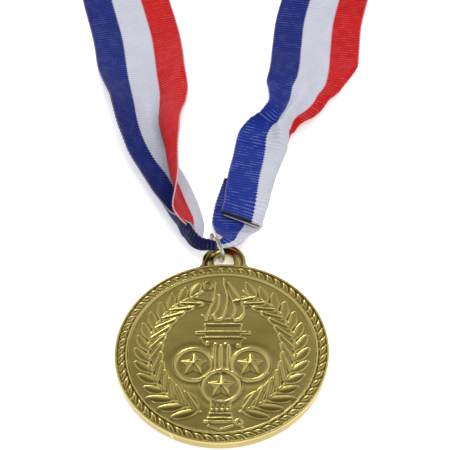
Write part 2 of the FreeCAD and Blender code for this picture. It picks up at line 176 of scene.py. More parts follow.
def route_line():
    """The smooth line of the ribbon's middle, read from a NURBS curve, in millimetres."""
    curve = bpy.data.curves.new("route", "CURVE")
    curve.dimensions = "3D"
    spline = curve.splines.new("NURBS")
    spline.points.add(len(ROUTE) - 1)
    for point, place in zip(spline.points, ROUTE):
        point.co = (place[0] * MM, place[1] * MM, place[2] * MM, 1)
    spline.order_u = 3
    spline.use_endpoint_u = True
    spline.resolution_u = 24
    holder = bpy.data.objects.new("route", curve)
    mesh = bpy.data.meshes.new_from_object(holder)
    line = np.array([v.co for v in mesh.vertices], float) / MM
    bpy.data.objects.remove(holder)
    bpy.data.curves.remove(curve)
    bpy.data.meshes.remove(mesh)
    return line


def lengths(points):
    """Distance along a line of points."""
    return np.concatenate([[0], np.cumsum(np.linalg.norm(np.diff(points, axis=0), axis=1))])


def spaced(line):
    """The line's points again, close together where the ribbon is seen close."""
    along = lengths(line)
    places, at = [0.0], 0.0
    while at < along[-1] - FINE_STEP:
        y = np.interp(at, along, line[:, 1])
        at += FINE_STEP if y < LEG_END_Y + FINE_PAST else COARSE_STEP
        places.append(at)
    places.append(along[-1])
    return np.stack([np.interp(places, along, line[:, k]) for k in range(3)], axis=1)


def between(rows, at):
    """Smooth values between given rows, each of them a key and its numbers."""
    rows = np.array(rows, float)
    keys, values = rows[:, 0], rows[:, 1:]
    at = np.clip(at, keys[0], keys[-1])
    i = np.clip(np.searchsorted(keys, at, side="right") - 1, 0, len(keys) - 2)
    gap = keys[i + 1] - keys[i]
    t = ((at - keys[i]) / gap)[:, None]
    rise = np.diff(values, axis=0) / np.diff(keys)[:, None]
    slope = np.zeros_like(values)
    same = rise[:-1] * rise[1:] > 0
    total = np.where(same, rise[:-1] + rise[1:], 1)
    slope[1:-1] = np.where(same, 2 * rise[:-1] * rise[1:] / total, 0)
    slope[0], slope[-1] = rise[0], rise[-1]
    gap = gap[:, None]
    return ((1 + 2 * t) * (1 - t) ** 2 * values[i] + t * (1 - t) ** 2 * gap * slope[i]
            + t * t * (3 - 2 * t) * values[i + 1] + t * t * (t - 1) * gap * slope[i + 1])


def sections(middle, ahead, roll, facts, fold, side, anchor):
    """The cloth's points, one row for each point of the middle line and one column across.

    The angle of the cloth is added up from edge to edge, so the ribbon keeps its width, less
    what its gather takes. Past its fold the cloth turns half round and lies back under itself.
    side is 1 going out from the ring and -1 coming back, and anchor is the place across the
    ribbon that stays on the middle line, apart from the row's own shift and height.
    """
    t = np.linspace(0, 1, COLUMNS + 1)
    mid = (t[1:] + t[:-1]) / 2
    angle = np.array([np.interp(mid, ACROSS, row[5:]) for row in facts])
    for _ in range(2):
        wide = np.pad(angle, ((0, 0), (1, 1)), mode="edge")
        angle = (wide[:, :-2] + 2 * wide[:, 1:-1] + wide[:, 2:]) / 4
    turned = np.clip((mid - fold[:, None]) / FOLD_WIDTH + 0.5, 0, 1)
    angle = np.radians(angle * (1 - turned) - FOLD_ANGLE * turned)
    red = np.clip((mid - RED_GATHER_U) / RED_GATHER_WIDTH, 0, 1)
    gather = facts[:, 2:3] + (facts[:, 3:4] - facts[:, 2:3]) * red
    step = RIBBON_WIDTH / COLUMNS * gather
    none = np.zeros((len(facts), 1))
    dx = np.hstack([none, np.cumsum(np.cos(angle) * step, axis=1)])
    dz = np.hstack([none, np.cumsum(np.sin(angle) * step, axis=1)])
    column = anchor * COLUMNS
    low = min(int(column), COLUMNS - 1)
    part = column - low
    dx -= (dx[:, low] * (1 - part) + dx[:, low + 1] * part)[:, None]
    dz -= (dz[:, low] * (1 - part) + dz[:, low + 1] * part)[:, None]
    level = ahead * [1, 1, 0]
    level /= np.linalg.norm(level, axis=1)[:, None]
    right = np.stack([level[:, 1], -level[:, 0], level[:, 2]], axis=1) * side
    up = np.array([0, 0, 1.0])
    cos, sin = np.cos(roll)[:, None, None], np.sin(roll)[:, None, None]
    flat = right[:, None, :] * dx[:, :, None] + up * dz[:, :, None]
    stood = up * dx[:, :, None] * side - right[:, None, :] * dz[:, :, None] * side
    slant = ahead[:, None, :] * (dx * facts[:, 4:5])[:, :, None]
    shift = right * facts[:, :1] + up * facts[:, 1:2]
    return (middle + shift)[:, None, :] + cos * flat + sin * stood + slant


def serrate(points):
    """Every other row's edges stand out a little, as the weft's loops do."""
    for edge, inner in ((0, 1), (-1, -2)):
        out = points[:, edge] - points[:, inner]
        out /= np.maximum(np.linalg.norm(out, axis=1), 1e-6)[:, None]
        sign = np.where(np.arange(len(points)) % 2 == 0, 1, -1)[:, None]
        points[:, edge] += out * SERRATION * sign
    return points


def slab(points, place_along, facing):
    """A closed skin round a sheet of points: vertices, faces, and three numbers for each vertex.

    The numbers are the place across and along the cloth, and how far the cloth has turned over;
    facing is 1 for the rows laid out face up and -1 for the rows laid the other way about.
    """
    rows, columns = points.shape[:2]
    along = np.gradient(points, axis=0)
    across = np.gradient(points, axis=1)
    normal = np.cross(across, along)
    normal /= np.maximum(np.linalg.norm(normal, axis=2), 1e-9)[:, :, None]
    half = np.full((rows, columns, 1), RIBBON_THICK / 2)
    half[:, [0, -1]] *= EDGE_THIN
    vertices = np.concatenate([(points + normal * half).reshape(-1, 3),
                               (points - normal * half).reshape(-1, 3)])
    i, j = np.meshgrid(np.arange(rows - 1), np.arange(columns - 1), indexing="ij")
    a = (i * columns + j).ravel()
    top = np.stack([a, a + columns, a + columns + 1, a + 1], axis=1)
    low = top[:, ::-1] + rows * columns
    outline = np.concatenate([np.arange(columns),
                              np.arange(1, rows) * columns + columns - 1,
                              (rows - 1) * columns + np.arange(columns - 2, -1, -1),
                              np.arange(rows - 2, 0, -1) * columns])
    after = np.roll(outline, -1)
    wall = np.stack([outline, after, after + rows * columns, outline + rows * columns], axis=1)
    u = np.broadcast_to(np.linspace(0, 1, columns)[None, :], (rows, columns))
    v = np.broadcast_to(place_along[:, None], (rows, columns))
    # how far the cloth is turned from face up; the material paints shade with it
    over = np.clip(0.5 - normal[:, :, 2] * facing[:, None] * 0.5, 0, 1)
    facts = np.stack([u.ravel(), v.ravel(), over.ravel()], axis=1)
    return vertices, np.concatenate([top, low, wall[:, ::-1]]), np.concatenate([facts, facts])


def new_piece(name, vertices, faces):
    """A smooth-shaded mesh object from points in millimetres."""
    mesh = bpy.data.meshes.new(name)
    mesh.from_pydata((np.asarray(vertices) * MM).tolist(), [], [list(map(int, f)) for f in faces])
    mesh.validate()
    piece = bpy.data.objects.new(name, mesh)
    bpy.context.scene.collection.objects.link(piece)
    mesh.shade_smooth()
    return piece


def give(mesh, name, values):
    """A number for each vertex, for a material to read."""
    attribute = mesh.attributes.new(name, "FLOAT", "POINT")
    attribute.data.foreach_set("value", np.asarray(values, np.float32))


def at_rows(table, y):
    """For each row, the value that a table of y and value gives."""
    table = np.array(table)
    return np.interp(y, table[:, 0], table[:, 1])


def make_ribbon():
    """The whole ribbon: ring, left leg, neck, right leg, lap, and the under layer to the ring."""
    line = route_line()
    points = spaced(line)
    ahead = np.gradient(points, axis=0)
    ahead /= np.linalg.norm(ahead, axis=1)[:, None]
    top = int(np.argmax(points[:, 1]))
    y = points[:, 1]
    index = np.arange(len(points))
    left = index[(index < top) & (y <= LEG_END_Y)]
    loop = index[y > LEG_END_Y]
    right = index[(index > top) & (y <= LEG_END_Y) & (y >= LAP_LOW_Y)]
    under = index[(index > top) & (y <= LAP_TOP_Y)]
    flat_row = [0, 0, 1, 1, 0] + [0] * 8
    roll = np.where(loop < top, at_rows(LOOP_OUT, y[loop]), at_rows(LOOP_BACK, y[loop]))
    still = np.zeros(len(points))
    parts = [
        sections(points[left], ahead[left], still[left], between(LEFT, y[left]),
                 at_rows(NO_FOLD, y[left]), 1, 0.5),
        sections(points[loop], ahead[loop], np.radians(roll),
                 np.tile(flat_row, (len(loop), 1)).astype(float),
                 at_rows(NO_FOLD, y[loop]), 1, 0.5),
        sections(points[right], ahead[right], still[right], between(RIGHT, y[right]),
                 at_rows(RIGHT_FOLD, y[right]), -1, 0.0),
    ]
    main = serrate(np.concatenate(parts))
    lower = serrate(sections(points[under], ahead[under], still[under],
                             between(UNDER, y[under]), at_rows(UNDER_FOLD, y[under]), -1, 0.0))
    distance = lengths(points)
    order = np.concatenate([left, loop, right])
    first, first_faces, first_facts = slab(main, distance[order], np.where(order < top, 1, -1))
    second, second_faces, second_facts = slab(lower, distance[under], np.full(len(under), -1))
    faces = np.concatenate([first_faces, second_faces + len(first)])
    piece = new_piece("neck_ribbon", np.concatenate([first, second]), faces)
    place = np.concatenate([first_facts, second_facts])
    give(piece.data, "across", place[:, 0])
    give(piece.data, "along", place[:, 1] * MM)
    give(piece.data, "over", place[:, 2])
    burn_upper = np.clip(1 - (distance[right[-1]] - first_facts[:, 1]) / BURN_UPPER, 0, 1)
    burn_under = np.clip(1 - (second_facts[:, 1] - distance[under[0]]) / BURN_UNDER, 0, 1)
    give(piece.data, "burn", np.concatenate([burn_upper, burn_under]))
    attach(piece, "ribbon")
    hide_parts("ribbon_left_leg", "ribbon_neck_left", "ribbon_turn_left",
                "ribbon_turn_right", "ribbon_neck_right", "ribbon_right_leg",
                "ribbon_lap_under", "ribbon_ring_turn")
    return piece


ribbon = make_ribbon()

# ---- medal: relief -----------------------------------------------------------------------------
MEDAL_R = 25.4
FIELD_Z = 2.4
FIELD_EDGE_R = 22.0
ROPE_R = 23.9
ROPE_BEADS = 64
BEAD_SLANT = 0.34         # part of a bead's spacing that it leans by, for each mm outwards
BEAD_FILL = 0.84          # part of the spacing that a bead takes up
BEAD_HALF = 0.86          # half of a bead's length across the channel
BEAD_RISE = 0.62
LEAF_PAIRS = 14           # on each branch
LEAF_START, LEAF_STEP = 197, 10.4               # degrees clockwise from the top
OUTER_LEAF_TURN, INNER_LEAF_TURN = 33, 41       # degrees off the stem
STAR_TIP_R, STAR_NOTCH_R = 3.95, 1.75
ROUNDEL_RIM_R, ROUNDEL_R = 4.35, 5.2            # middle of the raised rim, and the outer edge
GRID = 240                # squares along each side of the field's grid
STEM_R = 17.4
ROUNDELS = [(-6.5, -4.0), (6.8, -4.0), (0.1, -10.0)]


def smooth(x):
    """0 below 0, 1 above 1, with no corner."""
    x = np.clip(x, 0, 1)
    return x * x * (3 - 2 * x)


def segment(x, y, a, b):
    """Distance to a straight segment."""
    ux, uy = b[0] - a[0], b[1] - a[1]
    t = np.clip(((x - a[0]) * ux + (y - a[1]) * uy) / (ux * ux + uy * uy), 0, 1)
    return np.hypot(x - a[0] - t * ux, y - a[1] - t * uy)


def stroke(x, y, points):
    """Distance to a line through the points."""
    return np.min([segment(x, y, a, b) for a, b in zip(points, points[1:])], axis=0)


def curved(points, steps=5):
    """More points on a smooth curve through the given ones."""
    p = np.array(points, float)
    p = np.vstack([2 * p[0] - p[1], p, 2 * p[-1] - p[-2]])
    out = []
    for a, b, c, d in zip(p, p[1:], p[2:], p[3:]):
        for t in np.linspace(0, 1, steps, endpoint=False):
            out.append(0.5 * (2 * b + (c - a) * t + (2 * a - 5 * b + 4 * c - d) * t * t
                              + (3 * b - a - 3 * c + d) * t ** 3))
    out.append(p[-2])
    return np.array(out)


def crest(distance, half, height):
    """A rounded ridge along a line."""
    return height * np.clip(1 - (distance / half) ** 2, 0, 1) ** 0.8


def inside(x, y, corners):
    """How deep a point is inside a convex outline, given anticlockwise; negative outside."""
    depth = np.full(x.shape, 1e9)
    for a, b in zip(corners, corners[1:] + corners[:1]):
        ux, uy = b[0] - a[0], b[1] - a[1]
        depth = np.minimum(depth, (ux * (y - a[1]) - uy * (x - a[0])) / math.hypot(ux, uy))
    return depth


def bar(x, y, left, right, low, high, height, bevel=0.25):
    """A raised bar with bevelled sides."""
    corners = [(left, low), (right, low), (right, high), (left, high)]
    return height * smooth(inside(x, y, corners) / bevel + 0.5)


def leaf(x, y, base, turn, length, width, height, stripes):
    """A pointed leaf with a raised outline and stripes along it."""
    c, s = math.cos(turn), math.sin(turn)
    u = ((x - base[0]) * c + (y - base[1]) * s) / length
    v = -(x - base[0]) * s + (y - base[1]) * c
    reach = width / 2 * np.clip(4 * u * (1 - u), 0, 1) ** 0.62
    depth = reach - np.abs(v)
    body = smooth(depth / 0.2) * (u > 0) * (u < 1)
    lines = 0.5 + 0.5 * np.cos(2 * math.pi * stripes * v / width)
    return height * body * (0.62 + 0.38 * lines)


def relief_wreath(x, y):
    """The two laurel branches, each other's mirror but for the curl where the left one ends."""
    mx = -np.abs(x)
    rise = np.zeros_like(x)
    for k in range(LEAF_PAIRS):
        angle = math.radians(LEAF_START + k * LEAF_STEP)
        base = (STEM_R * math.sin(angle), STEM_R * math.cos(angle))
        along = math.atan2(-math.sin(angle), math.cos(angle))
        big = 1.25 if k < 3 else 1.0
        outer = leaf(mx, y, base, along + math.radians(OUTER_LEAF_TURN), 5.3 * big, 2.4, 0.5, 1)
        inner = leaf(mx, y, base, along - math.radians(INNER_LEAF_TURN), 6.2, 2.2 * big, 0.6, 2)
        rise = np.maximum(rise, np.maximum(outer, inner))
    sweep = [math.radians(a) for a in range(195, 325, 6)]
    stem = [(STEM_R * math.sin(a), STEM_R * math.cos(a)) for a in sweep]
    stem += [(-8.6, 14.9), (-6.8, 15.9), (-5.0, 17.4)]
    rise = np.maximum(rise, crest(stroke(mx, y, stem), 0.34, 0.5))
    curl = np.abs(np.hypot(x + 3.7, y - 19.1) - 1.15)
    rise = np.maximum(rise, crest(curl, 0.35, 0.28))
    return rise


FLAME_LEFT = [(-3.9, 8.8), (-3.6, 10.5), (-3.4, 11.5), (-3.0, 12.8), (-2.5, 14.1), (-2.2, 15.7),
              (-2.1, 17.2), (-2.0, 18.8), (-1.9, 19.8)]
FLAME_MIDDLE = [(-2.3, 10.0), (-1.4, 8.9), (-0.4, 9.1), (0.2, 10.2), (0.6, 11.5), (0.9, 13.0),
                (1.1, 14.5), (0.9, 16.2), (0.5, 18.0), (0.1, 19.6), (0.0, 21.2)]
FLAME_RIGHT = [(3.2, 8.7), (4.2, 9.1), (4.9, 10.2), (5.2, 11.5), (4.9, 13.1), (4.2, 14.9),
               (3.2, 16.8), (2.1, 18.5), (1.2, 19.9)]

TONGUE_LEFT = [(-3.0, 9.0), (-1.6, 11.4), (-1.0, 13.8), (-1.0, 16.2)]
TONGUE_RIGHT = [(2.2, 9.4), (2.9, 11.2), (2.8, 13.2), (2.0, 15.4), (1.2, 17.4)]


def relief_torch(x, y):
    """Flame, bowl, fluted column and handle."""
    rise = np.zeros_like(x)

    def add(part):
        np.maximum(rise, part, out=rise)

    add(crest(stroke(x, y, curved(FLAME_LEFT)), 0.42, 0.5))
    add(crest(stroke(x, y, curved(FLAME_MIDDLE)), 0.42, 0.55))
    add(crest(stroke(x, y, curved(FLAME_RIGHT)), 0.46, 0.55))
    add(crest(stroke(x, y, curved(TONGUE_RIGHT)), 0.36, 0.36))
    add(crest(stroke(x, y, curved(TONGUE_LEFT)), 0.3, 0.26))
    add(crest(stroke(x, y, [(0.6, 9.0), (3.0, 9.0)]), 0.28, 0.3))
    add(crest(stroke(x, y, curved([(-4.9, 10.2), (-4.2, 9.5), (-3.6, 9.2)])), 0.26, 0.3))
    add(bar(x, y, -4.1, 4.5, 3.2, 7.6, 0.28))
    add(bar(x, y, -4.3, 4.7, 6.9, 7.7, 0.5))
    add(bar(x, y, -6.3, 6.7, 4.65, 5.45, 0.55))
    add(bar(x, y, -5.2, 5.6, 3.15, 3.8, 0.5))
    cup = [(-4.2, 1.9), (-1.7, 1.4), (3.9, 1.2), (5.2, 3.4), (-5.0, 3.4)]
    add(0.3 * smooth(inside(x, y, cup) / 0.3 + 0.5))
    for cx, cy in ((-3.4, 2.0), (-1.5, 1.6), (0.9, 1.6), (3.9, 1.3)):
        add(crest(np.hypot(x - cx, y - cy), 0.7, 0.52))
    add(bar(x, y, -2.3, 2.2, -6.5, 1.6, 0.16))
    for cx in (-1.75, -0.2, 1.6):
        add(crest(segment(x, y, (cx, 1.2), (cx, -6.0)), 0.5, 0.5))
    add(bar(x, y, -2.3, 2.4, -16.6, -13.8, 0.24))
    for cx in (-1.8, -0.6, 0.6, 1.8):
        add(crest(segment(x, y, (cx, -14.4), (cx, -15.5)), 0.42, 0.42))
    for cx in (-1.95, -0.75, 0.5, 1.75):
        add(crest(np.hypot(x - cx, y + 16.35), 0.42, 0.46))
    add(0.3 * smooth(inside(x, y, [(-3.3, -19.2), (3.2, -19.2), (2.5, -17.0), (-2.5, -17.0)])
                     / 0.3 + 0.5))
    add(bar(x, y, -2.6, 2.6, -17.8, -17.25, 0.5))
    add(bar(x, y, -3.0, 2.9, -18.9, -18.45, 0.46))
    add(bar(x, y, -3.7, 3.4, -19.8, -19.25, 0.5))
    add(crest(stroke(x, y, [(-2.6, -20.4), (0.1, -21.6), (2.9, -20.5)]), 0.4, 0.45))
    add(crest(np.abs(np.hypot(x - 4.3, y + 19.7) - 0.75), 0.34, 0.42))
    add(crest(segment(x, y, (4.5, -20.2), (5.2, -21.1)), 0.32, 0.4))
    return rise


def relief_roundel(x, y, z, centre):
    """A sunk disc with a raised rim and a faceted five-pointed star."""
    dx, dy = x - centre[0], y - centre[1]
    r = np.hypot(dx, dy)
    around = np.arctan2(dx, dy) % (2 * math.pi / 5)
    around = np.minimum(around, 2 * math.pi / 5 - around)
    half = math.pi / 5
    # straight edge from the tip (angle 0) to the notch (angle 36 degrees)
    ax, ay = STAR_TIP_R, 0.0
    bx, by = STAR_NOTCH_R * math.cos(half), STAR_NOTCH_R * math.sin(half)
    edge = (ax * by - ay * bx) / ((by - ay) * np.cos(around) - (bx - ax) * np.sin(around))
    star = np.clip(1 - r / np.maximum(edge, 1e-6), 0, 1)
    dome = 2.45 - 0.25 * (r / 4) ** 2
    rim = 2.95 - 0.6 * np.clip(np.abs(r - ROUNDEL_RIM_R) / 0.5, 0, 1) ** 1.6
    whole = np.where(r < ROUNDEL_RIM_R, np.maximum(dome + star, rim), rim)
    blend = smooth((5.15 - r) / 0.5)
    moat = z - 0.10 * np.exp(-((r - 5.5) / 0.8) ** 2)
    return np.where(r < ROUNDEL_R, moat + (np.maximum(whole, moat) - moat) * blend, moat)


def field_height(x, y):
    """Height of the medal's face inside the raised line."""
    r = np.hypot(x, y)
    z = np.full(x.shape, FIELD_Z)
    # the field is not quite flat
    z += 0.035 * np.sin(0.31 * x + 0.6) * np.cos(0.27 * y - 0.4)
    z += 0.02 * np.sin(0.62 * y + 0.35 * x)
    z = z + relief_wreath(x, y)
    z = np.maximum(z, FIELD_Z + relief_torch(x, y))
    for centre in ROUNDELS:
        z = relief_roundel(x, y, z, centre)
    return FIELD_Z + (z - FIELD_Z) * smooth((FIELD_EDGE_R + 0.15 - r) / 0.3)


def rope_height(r, angle):
    """Height of the slanted beads in the channel, over its floor."""
    turn = angle / (2 * math.pi) * ROPE_BEADS - (r - ROPE_R) * BEAD_SLANT + 0.5
    across = (2 * (turn % 1) - 1) / BEAD_FILL
    bead = np.clip(1 - np.abs(across) ** 2.4, 0, 1) ** 0.6
    middle = np.clip(1 - ((r - ROPE_R) / BEAD_HALF) ** 2, 0, 1) ** 0.55
    return BEAD_RISE * bead * middle


# Rings outside the field: radius and height. The rope's beads are added where the flag is 1.
RIM_RINGS = [(22.15, 2.45, 0), (22.35, 2.85, 0), (22.5, 3.02, 0), (22.62, 3.06, 0),
             (22.75, 3.0, 0), (22.88, 2.72, 0), (23.0, 2.52, 0)]
RIM_RINGS += [(23.04 + k * 0.143, 2.5, 1) for k in range(13)]
RIM_RINGS += [(24.8, 2.6, 0), (24.86, 3.0, 0), (24.94, 3.16, 0), (25.04, 3.2, 0), (25.15, 3.18, 0),
              (25.27, 3.08, 0), (25.36, 2.92, 0), (25.4, 2.7, 0), (25.4, 2.26, 0),
              (25.36, 2.2, 0), (25.3, 2.12, 0), (25.2, 1.3, 0), (25.08, 0.3, 0), (25.0, 0.08, 0),
              (24.85, 0.0, 0)]
BACK_RINGS = [(22.0, 0.0), (14.0, 0.0), (6.0, 0.0)]


def make_medal():
    """The medal as one closed skin: a square grid bent to a disc, then rings round it."""
    side = GRID + 1
    g = np.linspace(-1, 1, side)
    a, b = np.meshgrid(g, g, indexing="xy")
    x = FIELD_EDGE_R * a * np.sqrt(1 - b * b / 2)
    y = FIELD_EDGE_R * b * np.sqrt(1 - a * a / 2)
    points = [np.stack([x.ravel(), y.ravel(), field_height(x.ravel(), y.ravel())], axis=1)]
    i, j = np.meshgrid(np.arange(GRID), np.arange(GRID), indexing="ij")
    k = (i * side + j).ravel()
    faces = [np.stack([k, k + 1, k + side + 1, k + side], axis=1)]
    rim = np.concatenate([np.arange(side), np.arange(1, side) * side + GRID,
                          GRID * side + np.arange(GRID - 1, -1, -1),
                          np.arange(GRID - 1, 0, -1) * side])
    around = np.arctan2(y.ravel()[rim], x.ravel()[rim])
    count, last = side * side, rim
    for radius, height, rope in RIM_RINGS + [(q, h, 0) for q, h in BACK_RINGS]:
        z = np.full(len(around), float(height))
        if rope:
            z = z + rope_height(radius, around)
        points.append(np.stack([radius * np.cos(around), radius * np.sin(around), z], axis=1))
        ring = count + np.arange(len(rim))
        faces.append(np.stack([last, ring, np.roll(ring, -1), np.roll(last, -1)], axis=1))
        count, last = count + len(rim), ring
    points.append(np.zeros((1, 3)))
    centre = np.full(len(last), count)
    fan = np.stack([last, centre, np.roll(last, -1)], axis=1)
    rows = [f.tolist() for f in faces] + [fan.tolist()]
    piece = new_piece("medal_disc", np.concatenate(points), [f for part in rows for f in part])
    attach(piece, "medal")
    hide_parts("medal_body")
    return piece


# ---- medal: loop -------------------------------------------------------------------------------
# place of the hole's centre, and radii of the loop, its hole and the fillets at its foot
TAB_Y, TAB_R, TAB_HOLE_R, TAB_FILLET_R = 26.25, 5.55, 2.45, 2.2
TAB_LOW, TAB_TOP = 1.6, 2.8
TAB_BACK_R = 2.6          # the hole's radius at the back, and the least one of the outer band
TAB_REACH = 8.0           # no part of the outline is farther from the hole's centre
TAB_ROOT_R = 24.75        # a circle round the medal's centre, which the loop's foot passes
TAB_SINK = 1.2            # by this much, along lines from the hole's centre
# radius from the hole's centre and height of the loop's face: hole, boss, groove, outer band
TAB_RINGS = [(TAB_HOLE_R, 1.75), (TAB_HOLE_R, 2.55), (2.5, 2.7), (2.62, 2.8), (3.0, 2.84),
             (3.6, 2.8), (3.85, 2.72), (3.95, 2.5), (4.25, 2.44), (4.6, 2.5), (4.7, 2.72),
             (4.85, TAB_TOP)]
TAB_SIDES = 144


def tab_outline(angles):
    """Distance from the hole's centre to the loop's outline, with its flared fillets."""
    # centre of the fillet that touches both the rim and the loop
    root = MEDAL_R - 0.1
    far, near = root + TAB_FILLET_R, TAB_R + TAB_FILLET_R
    cy = (far ** 2 - near ** 2 + TAB_Y ** 2) / (2 * TAB_Y)
    cx = math.sqrt(far ** 2 - cy ** 2)
    steps = np.linspace(0, 1, 400)
    start = math.atan2(-cy, -cx) % (2 * math.pi)
    end = math.atan2(TAB_Y - cy, -cx) % (2 * math.pi)
    arc = start + (end - start) * steps
    fx, fy = cx + TAB_FILLET_R * np.cos(arc), cy + TAB_FILLET_R * np.sin(arc)
    fillet_angle = np.arctan2(fy - TAB_Y, fx)
    fillet_reach = np.hypot(fx, fy - TAB_Y)
    order = np.argsort(fillet_angle)
    side = np.where(np.cos(angles) < 0, math.pi - angles, angles)
    side = (side + math.pi) % (2 * math.pi) - math.pi
    reach = np.interp(side, fillet_angle[order], fillet_reach[order], right=TAB_R)
    # where a line from the hole's centre meets the circle under the rim
    sin = np.sin(angles)
    square = (TAB_Y * sin) ** 2 - TAB_Y ** 2 + TAB_ROOT_R ** 2
    into = -TAB_Y * sin - np.sqrt(np.maximum(square, 0))
    into = np.where((square > 0) & (sin < 0), into, 1e9)
    return np.minimum(reach, np.where(into > 0, into + TAB_SINK, 1e9))


def make_tab():
    """The loop: a lug with a boss round its hole, a groove and a raised band."""
    angles = np.arange(TAB_SIDES) * 2 * math.pi / TAB_SIDES
    edge = np.minimum(tab_outline(angles), TAB_REACH)
    rings = []
    for radius, height in TAB_RINGS:
        rings.append((np.minimum(radius, edge - 0.5 + 0.001 * radius), height))
    rings += [(np.maximum(edge - 0.32, TAB_BACK_R), TAB_TOP), (edge - 0.12, 2.74),
              (edge - 0.02, 2.6), (edge, 2.4), (edge, 1.8), (edge - 0.1, TAB_LOW),
              (np.full(TAB_SIDES, TAB_BACK_R), TAB_LOW)]
    points = [np.stack([radius * np.cos(angles), TAB_Y + radius * np.sin(angles),
                        np.full(TAB_SIDES, float(height))], axis=1) for radius, height in rings]
    n, m = len(rings), TAB_SIDES
    faces = []
    for i in range(n):
        for j in range(m):
            low, high = i * m, (i + 1) % n * m
            faces.append((low + j, high + j, high + (j + 1) % m, low + (j + 1) % m))
    piece = new_piece("medal_loop", np.concatenate(points), faces)
    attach(piece, "medal")
    return piece


# ---- jump ring ---------------------------------------------------------------------------------
# ring and wire radius, turn about the vertical in degrees, distance from the hole's centre to the
# ring's, and the width of the gap
RING_R, WIRE_R, RING_YAW, RING_REACH, RING_GAP = 3.5, 0.5, 26.0, 3.9, 0.25
WIRE_START = 60           # degrees before the ring's lowest point, next to the gap
RING_ROWS, WIRE_SIDES = 121, 20
CUT_END = 0.93            # the wire's size at its two cut ends, as a part of its full size


def make_ring():
    """Round wire bent to a ring, with its hairline gap and cut ends."""
    yaw = math.radians(RING_YAW)
    forward = np.array([-math.sin(yaw), math.cos(yaw), 0])
    axis = np.array([math.cos(yaw), math.sin(yaw), 0])
    up = np.array([0, 0, 1.0])
    centre = np.array([0, TAB_Y, RING_R + WIRE_R]) + forward * RING_REACH
    gap = RING_GAP / RING_R
    turns = np.linspace(0, 2 * math.pi - gap, RING_ROWS) - math.radians(WIRE_START)
    around = np.arange(WIRE_SIDES) * 2 * math.pi / WIRE_SIDES
    points = []
    for n, turn in enumerate(turns):
        out = forward * math.sin(turn) - up * math.cos(turn)
        size = WIRE_R if 0 < n < RING_ROWS - 1 else WIRE_R * CUT_END
        for a in around:
            points.append(centre + out * (RING_R + size * math.cos(a)) + axis * size * math.sin(a))
    faces = []
    for i in range(RING_ROWS - 1):
        low, high = i * WIRE_SIDES, (i + 1) * WIRE_SIDES
        for j in range(WIRE_SIDES):
            k = (j + 1) % WIRE_SIDES
            faces.append((low + j, low + k, high + k, high + j))
    faces.append(list(range(WIRE_SIDES - 1, -1, -1)))
    faces.append([(RING_ROWS - 1) * WIRE_SIDES + j for j in range(WIRE_SIDES)])
    piece = new_piece("split_ring_wire", points, faces)
    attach(piece, "ring")
    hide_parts("jump_ring")
    return piece


medal = make_medal()
loop = make_tab()
ring = make_ring()


# ---- materials ---------------------------------------------------------------------------------
RIB_PITCH = 0.00092       # metres between the ribs across the ribbon
THREADS = 52              # threads along it, side by side
RIB_SHIFT = 0.006         # how far a rib pushes the bands' edges, as a part of the width
# places across, from where one band begins to give way to where the next is whole
BLUE_TO_WHITE = (0.325, 0.341)
WHITE_TO_RED = (0.659, 0.675)
PAINTED_LIGHT_ALONG = (0.69, 0.72)     # metres along, where the painted light on the lower right leg sets in
# two shades of each, mixed in patches
BLUES = ((0.003, 0.008, 0.098, 1), (0.009, 0.020, 0.180, 1))
WHITES = ((0.38, 0.385, 0.45, 1), (0.50, 0.505, 0.575, 1))
REDS = ((0.345, 0.003, 0.004, 1), (0.51, 0.009, 0.009, 1))
# the first is painted light on the lower right leg's blue, the second painted shade on blue cloth
# tilted or turned over
PAINTED_LIGHT_BLUE, PAINTED_SHADE_BLUE = (0.014, 0.042, 0.320, 1), (0.003, 0.005, 0.040, 1)
# colour of the painted glints on the ribs
GLINT = (0.55, 0.60, 0.86, 1)
# pale edge threads, partly a painted highlight
SELVAGE_PALE_AND_SHINE = (0.80, 0.62, 0.66, 1)
# soot at the melted cut ends; on the blue it also stands for painted shadow
SOOT_AND_SHADOW_ON_BLUE, SOOT_ON_WHITE = (0.012, 0.008, 0.012, 1), (0.50, 0.48, 0.50, 1)
GOLDS = ((0.44, 0.335, 0.076, 1), (0.67, 0.545, 0.180, 1))
# painted shade for hollows, and a painted highlight for raised edges
GOLD_PAINTED_SHADE, GOLD_PAINTED_HIGHLIGHT = (0.16, 0.115, 0.03, 1), (0.95, 0.86, 0.48, 1)
STEELS = ((0.38, 0.37, 0.35, 1), (0.66, 0.65, 0.62, 1))


